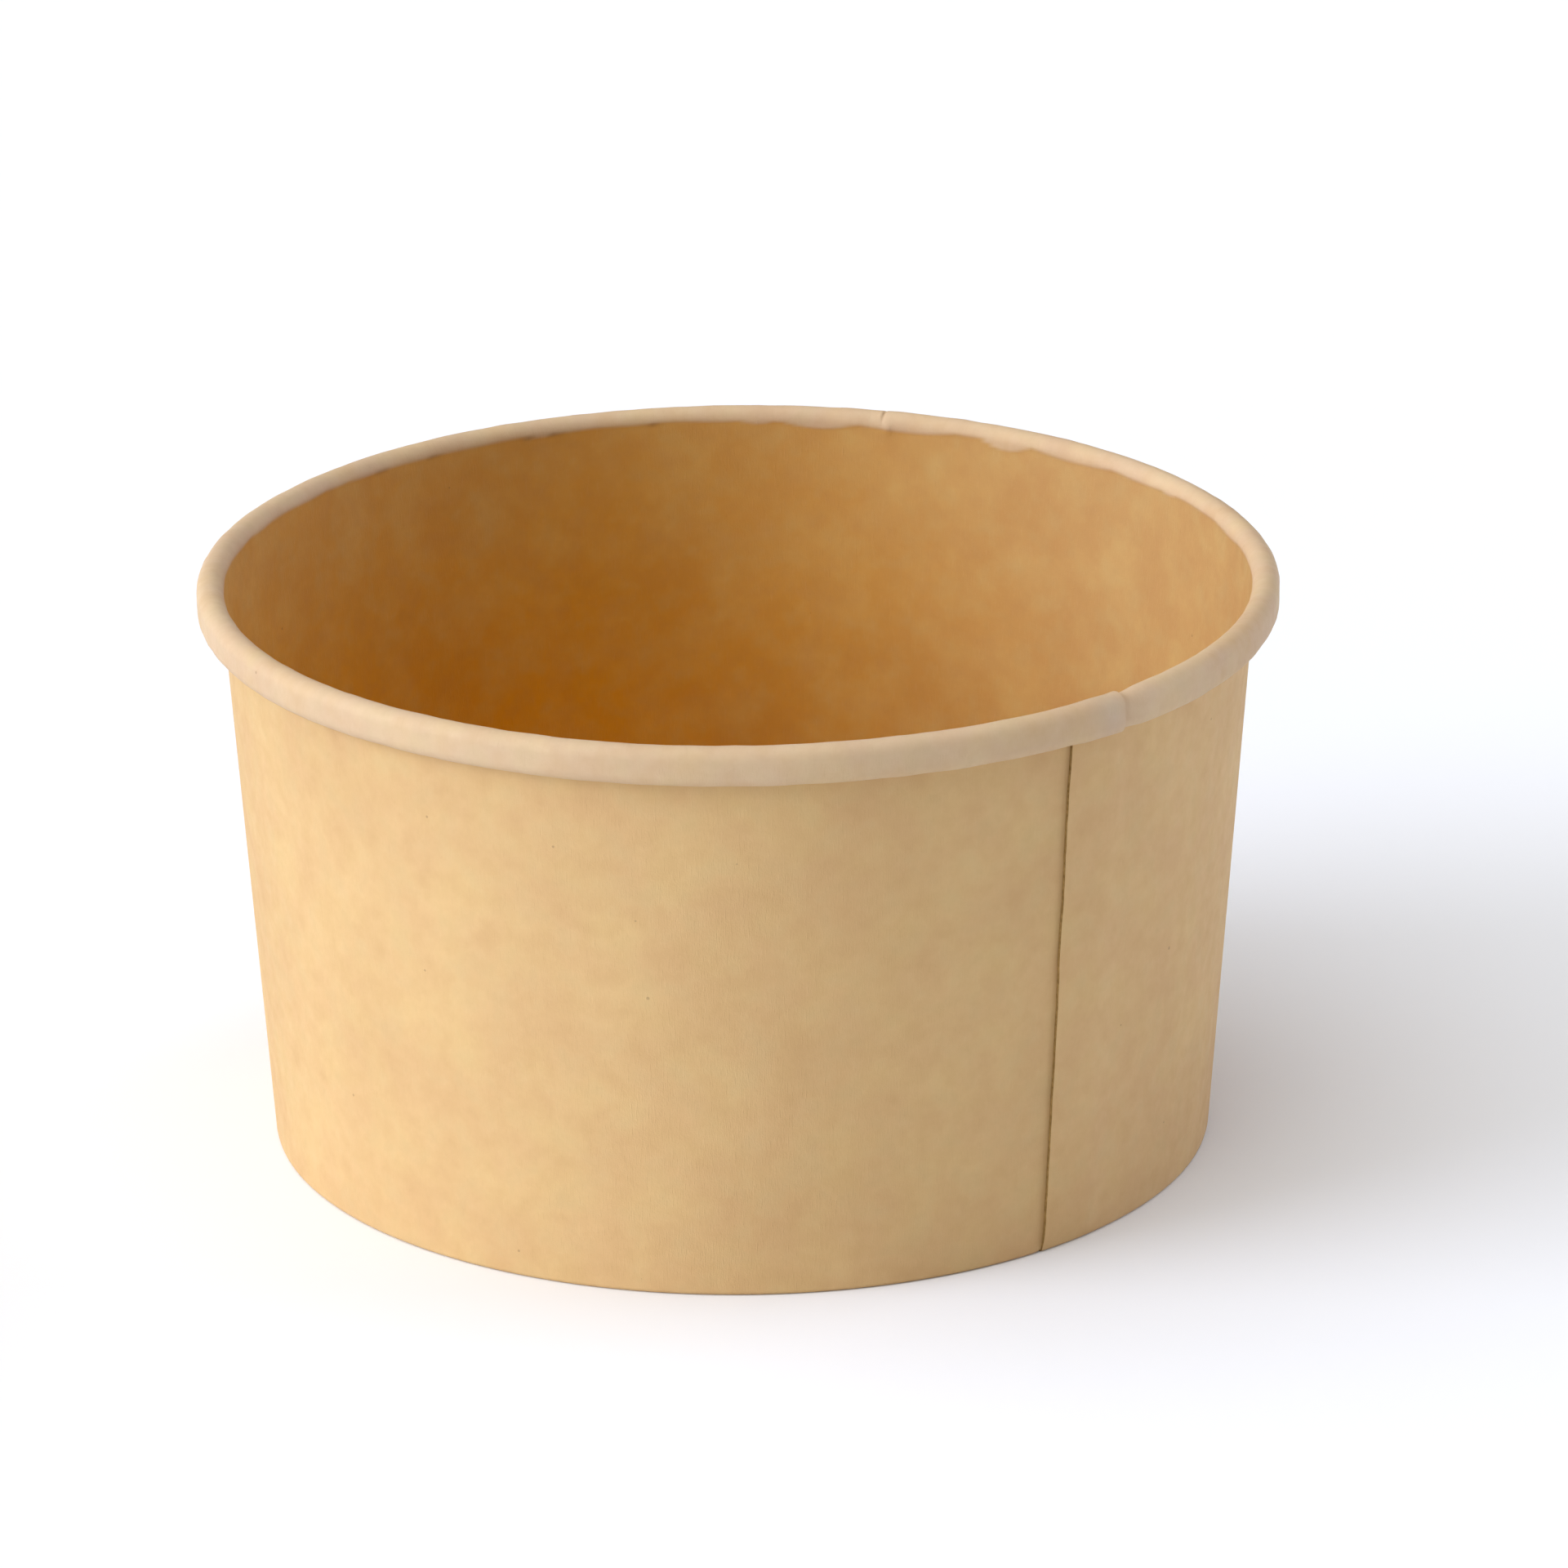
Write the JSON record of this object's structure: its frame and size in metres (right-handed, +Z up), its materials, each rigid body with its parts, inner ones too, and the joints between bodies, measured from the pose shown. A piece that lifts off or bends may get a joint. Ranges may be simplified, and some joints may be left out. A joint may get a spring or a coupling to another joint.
{
  "type": "paper ice cream tub",
  "caption": "Open round tub of brown paperboard with a rolled rim, a lapped side seam and a sunk bottom, for about a litre of ice cream or other food.",
  "frame": {"origin": "centre of the circle on which the tub stands, level with the table", "axes": "+Z up along the tub's axis, -Y towards the front from which the side seam is seen on the right"},
  "size_m": [0.15, 0.15, 0.0815],
  "materials": {
    "side_board": "matte",
    "base_board": "matte"
  },
  "bodies": {
    "root": {"side_wall": "side_board", "bottom_disc": "base_board"}
  },
  "joints": []
}
